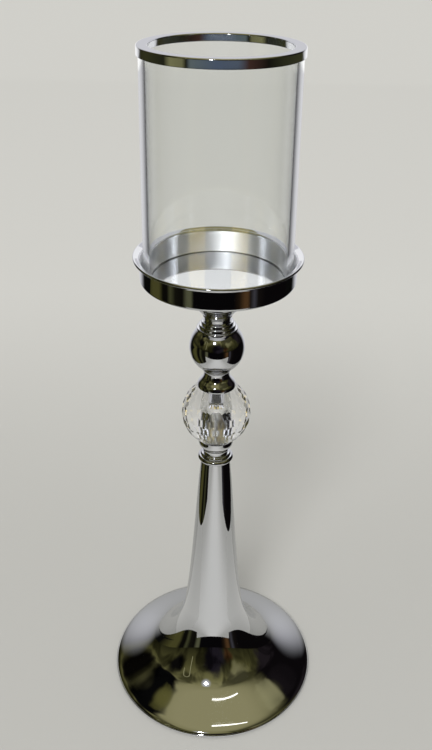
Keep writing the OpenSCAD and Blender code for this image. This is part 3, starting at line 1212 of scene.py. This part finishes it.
@dataclass(frozen=True)
class Card(Finish):
    """A studio card of one tone, which only reflections see: straight looks pass through it.

    Sides, where given, are two distances from the middle plane and how much the card hides at each of them. A card
    behind glass shows only to rays that went through glass.
    """

    label: str = "card"
    colour: str = "#101010"
    strength: float = 1
    sides: Fade | None = None
    behind_glass: bool = False

    def material(self) -> Material:
        """Finds or makes the card's material, which lights nothing by itself.

        Returns:
            The material.
        """
        made = super().material()
        made.cycles.emission_sampling = "NONE"
        return made

    def paint(self, nodes: Nodes) -> Node:
        """Adds the glow, and lets through each ray that met no mirror, or a matt surface.

        Args:
            nodes: The material's nodes.

        Returns:
            The shader node.
        """
        tests = [("Glossy Depth", "GREATER_THAN"), ("Diffuse Depth", "LESS_THAN")]
        if self.behind_glass:
            tests.append(("Transmission Depth", "GREATER_THAN"))
        path = nodes.add("LightPath").outputs
        share = self.cover(nodes)
        for depth, test in tests:
            # A depth is a whole number, so a half tells none from one
            passed = nodes.add("Math", (path[depth], 0.5), operation=test)
            share = nodes.add("Math", (share, passed), operation="MULTIPLY")
        glow = nodes.add("Emission", self.tone(nodes))
        return nodes.add("MixShader", (share, nodes.add("BsdfTransparent"), glow))

    def tone(self, nodes: Nodes) -> tuple[Feed, Feed]:
        """Colour and strength of the card's glow."""
        return linear(self.colour), self.strength

    def cover(self, nodes: Nodes) -> Feed:
        """Works out how much the card hides: all that is behind it, or less towards one of its sides.

        Args:
            nodes: The material's nodes.

        Returns:
            The share that it hides.
        """
        if self.sides is None:
            return 1.0
        across = nodes.add("SeparateXYZ", (nodes.place,)).outputs["X"]
        away = nodes.add("Math", (across,), operation="ABSOLUTE")
        return nodes.add("MapRange", (away, *self.sides), **SMOOTH)


@dataclass(frozen=True)
class HaloCard(Card):
    """A round card that fades out towards its edge."""

    middle: Triple = (0, 0, 1)
    radius: float = 0.1

    def cover(self, nodes: Nodes) -> Feed:
        """Lets the card fade out from its middle."""
        away = nodes.add("VectorMath", (nodes.place, self.middle), operation="DISTANCE").outputs["Value"]
        return nodes.add("MapRange", (away, 0, self.radius, 1, 0), interpolation_type="SMOOTHERSTEP")


@dataclass(frozen=True)
class RisingCard(Card):
    """A card whose tone changes from the floor up to a height."""

    top: str = "#202020"
    high_z: float = 1

    def tone(self, nodes: Nodes) -> tuple[Feed, Feed]:
        """Adds the change of tone.

        Args:
            nodes: The material's nodes.

        Returns:
            Colour and strength of the glow.
        """
        height = nodes.add("SeparateXYZ", (nodes.place,)).outputs["Z"]
        rise = nodes.add("MapRange", (height, 0, self.high_z), **SMOOTH)
        return nodes.add("ValToRGB", (rise,), ((0, self.colour), (1, self.top))), self.strength


@dataclass(frozen=True)
class StripedCard(Card):
    """Dark ground with soft stripes of olive, brown and grey that point to the axis.

    Each stripe has its direction in degrees, from the front to the right, and its colour.
    """

    stripes: Stops = (
        (-180, "#0B0B09"), (-125, "#0B0B09"), (-104, "#484625"), (-92, "#484625"), (-84, "#0D0C08"),
        (-76, "#0D0C08"), (-70, "#3F4029"), (-62, "#15140D"), (-50, "#0D0C09"), (-43, "#52533D"),
        (-38, "#52533D"), (-34, "#080708"), (22, "#080708"), (30, "#1E160D"), (38, "#4C3620"),
        (42, "#4C3620"), (46, "#1A1612"), (52, "#3C3B40"), (58, "#14110F"), (70, "#0A0809"),
        (180, "#0A0809"),
    )

    def tone(self, nodes: Nodes) -> tuple[Feed, Feed]:
        """Adds the stripes.

        Args:
            nodes: The material's nodes.

        Returns:
            Colour and strength of the glow.
        """
        split = nodes.add("SeparateXYZ", (nodes.place,)).outputs
        front = nodes.add("Math", (split["Y"], -1.0), operation="MULTIPLY")
        turn = nodes.add("Math", (split["X"], front), operation="ARCTAN2")
        share = nodes.add("MapRange", (turn, -math.pi, math.pi))
        stops = tuple((at / 360 + 0.5, code) for at, code in self.stripes)
        return nodes.add("ValToRGB", (share,), stops), self.strength


@dataclass(frozen=True)
class Patch:
    """A soft patch of the tent: its direction from the front to the right, its rise and its size in degrees."""

    colour: str
    turn: float
    rise: float
    size: float
    soft: float = 7

    @property
    def aim(self) -> Triple:
        """Direction of the patch's middle."""
        turn, rise = math.radians(self.turn), math.radians(self.rise)
        return (math.cos(rise) * math.sin(turn), -math.cos(rise) * math.cos(turn), math.sin(rise))

    @property
    def limits(self) -> Point:
        """Cosines of the angles where the patch begins and where it is full."""
        begins, full = self.size + self.soft, max(self.size - self.soft, 0)
        return (math.cos(math.radians(begins)), math.cos(math.radians(full)))


@dataclass(frozen=True)
class RoomCard(Card):
    """The dark tent round the table: black low down, olive overhead, with soft patches."""

    label: str = "card_tent"
    tones: Stops = (
        (0.0, "#0B0B08"), (0.15, "#262513"), (0.45, "#454326"), (0.72, "#66633F"), (0.95, "#938E68"),
    )
    patches: tuple[Patch, ...] = (
        Patch("#080808", -96, 51, 14, 4),
        Patch("#0A0908", -76, 27, 12, 5),
        Patch("#0A0806", -129, 39, 8, 5),
        Patch("#5E5B30", -107, 66, 5, 4),
        Patch("#1A171C", 4, 18, 21),
        Patch("#1B1719", 118, 28, 25, 6),
        Patch("#9A966E", 113, 58, 6, 3),
        Patch("#3A2614", 34, 15, 7, 5),
        Patch("#6A6748", 53, 38, 12),
    )
    wobble_size: float = 0.3
    wobble: float = 0.35
    blotch_size: float = 0.45
    blotch_bend: float = 0.6
    blotch_range: Point = (0.4, 0.62)
    blotch_share: Point = (0.35, 1.25)
    even_z: Point = (0.75, 0.93)

    def tone(self, nodes: Nodes) -> tuple[Feed, Feed]:
        """Adds the patches and blotches.

        Args:
            nodes: The material's nodes.

        Returns:
            Colour and strength of the glow.
        """
        aim = nodes.add("VectorMath", (nodes.place,), operation="NORMALIZE")
        height = nodes.add("SeparateXYZ", (aim,)).outputs["Z"]
        colour = nodes.add("ValToRGB", (height,), self.tones).outputs["Color"]
        # The patches lose their round outline by a slow noise that bends the direction
        noise = nodes.add("TexNoise", {"Vector": aim, "Scale": 1 / self.wobble_size, "Detail": 3.0})
        shift = nodes.add("VectorMath", (noise.outputs["Color"], (-0.5, -0.5, -0.5)), operation="ADD")
        bent = nodes.add("VectorMath", (shift, (self.wobble,) * 3, aim), operation="MULTIPLY_ADD")
        bent = nodes.add("VectorMath", (bent,), operation="NORMALIZE")
        for patch in self.patches:
            near = nodes.add("VectorMath", (bent, patch.aim), operation="DOT_PRODUCT").outputs["Value"]
            inside = nodes.add("MapRange", (near, *patch.limits), **SMOOTH)
            # Sockets 6 and 7 are the mix node's two colours, and output 2 is the mixed one
            mix = nodes.add("Mix", {"Factor": inside, 6: colour, 7: linear(patch.colour)}, data_type="RGBA")
            colour = mix.outputs[2]
        noise = {"Vector": aim, "Scale": 1 / self.blotch_size, "Detail": 2.0, "Distortion": self.blotch_bend}
        blotch = nodes.add("TexNoise", noise)
        uneven = nodes.add("MapRange", (blotch, *self.blotch_range, *self.blotch_share), **SMOOTH)
        # Overhead the tent is even, so the blotches fade out with height
        overhead = nodes.add("MapRange", (height, *self.even_z), **SMOOTH)
        return colour, nodes.add("Mix", {"Factor": overhead, "A": uneven, "B": 1.0}, data_type="FLOAT")


@dataclass
class Studio:
    """The pale table, the cards round it, the lamps and the camera.

    A lift counts in steps of card_lift, which keep the cards on the table apart. A fade is a card's sides.
    """

    table_span: float = 24
    room: float = 2.4
    tent_spans: int = 48
    tent_rows: int = 16
    card_lift: float = 0.0006
    front_y: float = -0.52
    left_x: float = -0.225
    right_x: float = 0.215
    wedge_y: Point = (-0.2, 0.3)
    wedge_lift: float = 2
    side_shade_lift: float = 0.5
    side_shade_fade: Fade = (0.05, 0.22, 0, 0.35)
    shade_y: float = 0.06
    shade_lift: float = 0.7
    shade_fade: Fade = (0, 0.3, 0.35, 0.35)
    glow_y: float = -0.08
    glow_fade: Fade = (0.02, 0.2, 0.4, 0)
    back_y: float = 0.3
    back_h: float = 0.9
    pale_x: Point = (0.16, 0.38)
    pale_rise: float = 0.2
    band_z: Point = (0.425, 0.522)
    lamp_corners: tuple[Point, ...] = ((0, -0.29), (0.64, -0.22), (0.64, -0.18), (0, -0.25))
    lamp_z: float = 1.9
    lamp_glow: float = 2.4
    cane_reach: float = 1.25
    cane_w: float = 0.03
    cane_top: float = 1.15
    # Direction of each point in degrees, and its drop from the top
    cane_points: tuple[Point, ...] = (
        (-46, 0.75), (-46, 0.12), (-47, 0.05), (-50, 0.01), (-54, 0.01), (-57, 0.05), (-58, 0.12), (-58, 0.4),
    )
    panel_x: float = 0.8
    panel_y: Point = (-0.16, 0)
    panel_z: Point = (0.44, 1.1)
    panel_glow: float = 5
    warm_x: Point = (0.35, 0.75)
    warm_y: Point = (-0.8, -0.55)
    warm_z: Point = (0.55, 0.8)
    warm_glow: float = 2.5
    wall_spans: int = 72
    curb_r: float = 1.5
    curb_h: float = 0.219
    skirt_r: float = 2.328
    skirt_h: float = 0.17
    skirt_tones: Stops = (
        (-180, "#12110B"), (-118, "#34351F"), (-80, "#25261A"), (-70, "#7A7954"), (-52, "#6E6D4C"),
        (-46, "#15150F"), (-40, "#5E6868"), (-6, "#4F5B6C"), (22, "#525C69"), (36, "#3F2C26"),
        (64, "#171510"), (88, "#2C2D1D"), (140, "#3A3A26"), (180, "#0E0D0A"),
    )
    key_from: Triple = (-0.145, -0.64, 0.62)
    key_power: float = 1.7
    key_spread: float = 22
    head_at: Triple = (-0.145, -0.64, 0.79)
    head_aim: Triple = (0, 0, 0.2)
    head_r: float = 0.034
    head_power: float = 0.45
    halo_r: float = 0.15
    halo_gap: float = 0.01
    halo_spans: int = 32
    camera_at: Triple = (-0.0012, -0.5343, 0.5801)
    pitch: float = 25.2
    roll: float = 0.76
    focal_px: float = 870.7
    axis_row: float = 300
    picture: tuple[int, int] = (432, 750)
    sensor_mm: float = 36
    bounces: int = 24
    glossy_bounces: int = 12

    def hang(self, name: str, verts: list, faces: list, paper: Card) -> None:
        """Adds a card or tent that only reflections see.

        Args:
            name: Name of the card.
            verts: Its points in metres.
            faces: Its faces.
            paper: Its tone.
        """
        made = add_mesh(name, verts, faces)
        made.data.materials.append(paper.material())
        for rays in ("visible_camera", "visible_diffuse", "visible_shadow", "visible_volume_scatter"):
            setattr(made, rays, False)

    def card(self, name: str, corners: list[Triple], paper: Card) -> None:
        """Adds a flat card with these corners."""
        self.hang(name, corners, [tuple(range(len(corners)))], paper)

    def ground(self, name: str, y: Point, lift: float, paper: Card) -> None:
        """Adds a card that lies on the table, right across the tent.

        Args:
            name: Name of the card.
            y: Where it begins and ends.
            lift: Its height in steps.
            paper: Its tone.
        """
        far, z = self.room, lift * self.card_lift
        self.card(name, [(-far, y[0], z), (far, y[0], z), (far, y[1], z), (-far, y[1], z)], paper)

    def upright(self, name: str, x: Point, y: Point, z: Point, paper: Card) -> None:
        """Adds a card that stands upright.

        Args:
            name: Name of the card.
            x: Where its two sides stand.
            y: Where they stand in depth.
            z: Heights of its lower and upper edge.
            paper: Its tone.
        """
        (x0, x1), (y0, y1), (z0, z1) = x, y, z
        self.card(name, [(x0, y0, z0), (x1, y1, z0), (x1, y1, z1), (x0, y0, z1)], paper)

    def wall(self, name: str, radius: float, high: float, paper: Card) -> None:
        """Adds a low round wall.

        Args:
            name: Name of the wall.
            radius: Its radius.
            high: Its height.
            paper: Its tone.
        """
        spans = self.wall_spans
        turns = [2 * math.pi * j / spans for j in range(spans)]
        verts = [(radius * math.sin(t), -radius * math.cos(t), z) for z in (self.card_lift, high) for t in turns]
        faces = [(j, (j + 1) % spans, spans + (j + 1) % spans, spans + j) for j in range(spans)]
        self.hang(name, verts, faces, paper)

    def floor(self) -> None:
        """Adds the pale table."""
        half = self.table_span / 2
        corners = [(-half, -half, 0), (half, -half, 0), (half, half, 0), (-half, half, 0)]
        made = add_mesh("table", corners, [(0, 1, 2, 3)])
        made.data.materials.append(TableTop().material())

    def tent(self) -> None:
        """Adds the dark tent over the table."""
        spans, rows = self.tent_spans, self.tent_rows
        verts, faces = [], []
        for i in range(rows + 1):
            rise = math.pi / 2 * i / rows
            flat = self.room * math.cos(rise)
            for turn in (2 * math.pi * j / spans for j in range(spans)):
                verts.append((flat * math.cos(turn), flat * math.sin(turn), self.room * math.sin(rise)))
        for i in range(rows):
            for j in range(spans):
                k = (j + 1) % spans
                faces.append((i * spans + j, i * spans + k, (i + 1) * spans + k, (i + 1) * spans + j))
        self.hang("tent", verts, faces, RoomCard())

    def cards(self) -> None:
        """Adds the dark ground round the pale part of the table, and the painted shade and painted light that the table
        shows in reflections.
        """
        far, front, back = self.room, self.front_y, self.back_y
        olive = StripedCard("card_olive")
        self.ground("ground_front", (-far, front), 1, olive)
        (near, end), z = self.wedge_y, self.wedge_lift * self.card_lift
        for name, edge, out in (("ground_left", self.left_x, -far), ("ground_right", self.right_x, far)):
            self.card(name, [(edge, near, z), (out, -far, z), (out, end, z), (edge, end, z)], olive)
        # Painted shade: a grey card over the table, which reflections show darker towards the sides
        side_shade = Card("card_side_shade", "#75766F", sides=self.side_shade_fade)
        self.ground("ground_side_shade", (front, back), self.side_shade_lift, side_shade)
        # Painted shade: a grey card over the table behind the foot, which reflections show darker
        shade = Card("card_shade", "#75766F", sides=self.shade_fade)
        self.ground("ground_shade", (self.shade_y, back), self.shade_lift, shade)
        # Painted light: a pale card over the front of the table, which reflections show paler towards the middle
        glow = Card("card_glow", "#E2E2DE", sides=self.glow_fade)
        self.ground("ground_glow", (front, self.glow_y), self.shade_lift, glow)
        self.ground("ground_back", (back, far), 1, Card("card_black", "#0B0B0A"))

    def screens(self) -> None:
        """Adds the pale back with its bright band, the lamp that shows, the side panels and the low walls.

        The striped wall shows in the ring of the shade, and the curb hides it from what is lower.
        """
        near, edge = self.pale_x
        wide, back, fade = (-edge, edge), self.back_y, (near, edge, 1, 0)
        # Painted shade: the back is darker low down, where it meets the table
        pale = RisingCard("card_pale", "#A9A9A6", top="#D2D2D6", high_z=self.pale_rise, sides=fade)
        self.upright("back", wide, (back, back), (self.card_lift, self.back_h), pale)
        band = Card("card_band", "#FFFFFF", sides=fade)
        self.upright("back_band", wide, (back - self.card_lift,) * 2, self.band_z, band)
        lamp = Card("card_tube", "#FFFDF0", self.lamp_glow)
        self.card("lamp_tube", [(x, y, self.lamp_z) for x, y in self.lamp_corners], lamp)
        self.cane()
        panel = Card("card_panel", "#F4F6FF", self.panel_glow, behind_glass=True)
        warm = Card("card_warm", "#F2D98C", self.warm_glow, behind_glass=True)
        for side in (-1, 1):
            self.upright("side_panel", (side * self.panel_x,) * 2, self.panel_y, self.panel_z, panel)
            self.upright("side_warm", tuple(side * x for x in self.warm_x), self.warm_y, self.warm_z, warm)
        self.wall("curb", self.curb_r, self.curb_h, StripedCard("card_olive"))
        self.wall("skirt", self.skirt_r, self.skirt_h, StripedCard("card_skirt", stripes=self.skirt_tones))

    def cane(self) -> None:
        """Adds a thin pale cane at the left, which the ball and the foot show as a curved line."""
        spine = []
        for degrees, drop in self.cane_points:
            turn, reach = math.radians(degrees), self.cane_reach
            spine.append(Vector((reach * math.sin(turn), -reach * math.cos(turn), self.cane_top - drop)))
        verts, faces = [], []
        for k, at in enumerate(spine):
            along = spine[min(k + 1, len(spine) - 1)] - spine[max(k - 1, 0)]
            across = along.cross(at * Vector((1, 1, 0))).normalized() * (self.cane_w / 2)
            verts += [tuple(at + across), tuple(at - across)]
            if k:
                faces.append((2 * k - 2, 2 * k - 1, 2 * k + 1, 2 * k))
        self.hang("pale_cane", verts, faces, Card("card_cane", "#8F8C68"))

    def lamps(self) -> None:
        """Adds the soft key and the small bright head by the camera."""
        key = bpy.data.lights.new("key_soft", "SUN")
        key.energy, key.angle = self.key_power, math.radians(self.key_spread)
        soft = add_object("key_soft", key)
        soft.rotation_euler = Vector(self.key_from).to_track_quat("Z", "Y").to_euler()
        soft.visible_glossy = False
        head = bpy.data.lights.new("head", "AREA")
        head.shape, head.size, head.energy = "DISK", 2 * self.head_r, self.head_power
        place, aim = Vector(self.head_at), Vector(self.head_aim)
        bright = add_object("head", head)
        bright.matrix_world = Matrix.Translation(place) @ (place - aim).to_track_quat("Z", "Y").to_matrix().to_4x4()
        bright.visible_camera = False

    def halo(self) -> None:
        """Adds the soft glow behind the head."""
        place, gap, r = Vector(self.head_at), self.halo_gap, self.halo_r
        turn = (Vector(self.head_aim) - place).to_track_quat("Z", "Y").to_matrix()
        angles = [2 * math.pi * j / self.halo_spans for j in range(self.halo_spans)]
        disc = [tuple(place - turn @ Vector((r * math.cos(a), r * math.sin(a), gap))) for a in angles]
        middle = tuple(place - turn @ Vector((0, 0, gap)))
        self.card("head_halo", disc, HaloCard("card_halo", "#D6D8E2", middle=middle, radius=r))

    def world(self) -> None:
        """Adds the even light all round."""
        world = bpy.data.worlds.new("studio")
        nodes = Nodes(world)
        nodes.add("OutputWorld", {"Surface": nodes.add("Background", (linear("#D1D1CE"), 1.0))})
        bpy.context.scene.world = world

    def camera(self) -> None:
        """Adds the camera at the photograph's viewing angle."""
        width, height = self.picture
        lens = bpy.data.cameras.new("camera")
        lens.sensor_width = self.sensor_mm
        lens.lens = self.focal_px / max(width, height) * self.sensor_mm
        lens.shift_y = (self.axis_row - height / 2) / max(width, height)
        made = add_object("camera", lens)
        tilt = Matrix.Rotation(math.radians(90 - self.pitch), 4, "X")
        made.matrix_world = Matrix.Translation(self.camera_at) @ tilt @ Matrix.Rotation(math.radians(self.roll), 4, "Z")
        bpy.context.scene.camera = made

    def build(self) -> None:
        """Adds everything that is not part of the object."""
        scene = bpy.context.scene
        scene.view_settings.view_transform = "Standard"
        scene.cycles.max_bounces = self.bounces
        scene.cycles.glossy_bounces = self.glossy_bounces
        scene.cycles.transmission_bounces = self.bounces
        for add in (self.camera, self.floor, self.tent, self.cards, self.screens, self.lamps, self.halo, self.world):
            add()


def main() -> None:
    """Builds the object and its studio."""
    logging.basicConfig(level=logging.INFO, format="%(name)s: %(message)s")
    Studio().build()
    for part in (Foot(), TieRod(), TurnedColumn(), Crystal(), Dish(), Shade()):
        part.dress()
        log.info("%s is dressed", type(part).__name__)


if __name__ == "__main__":
    main()
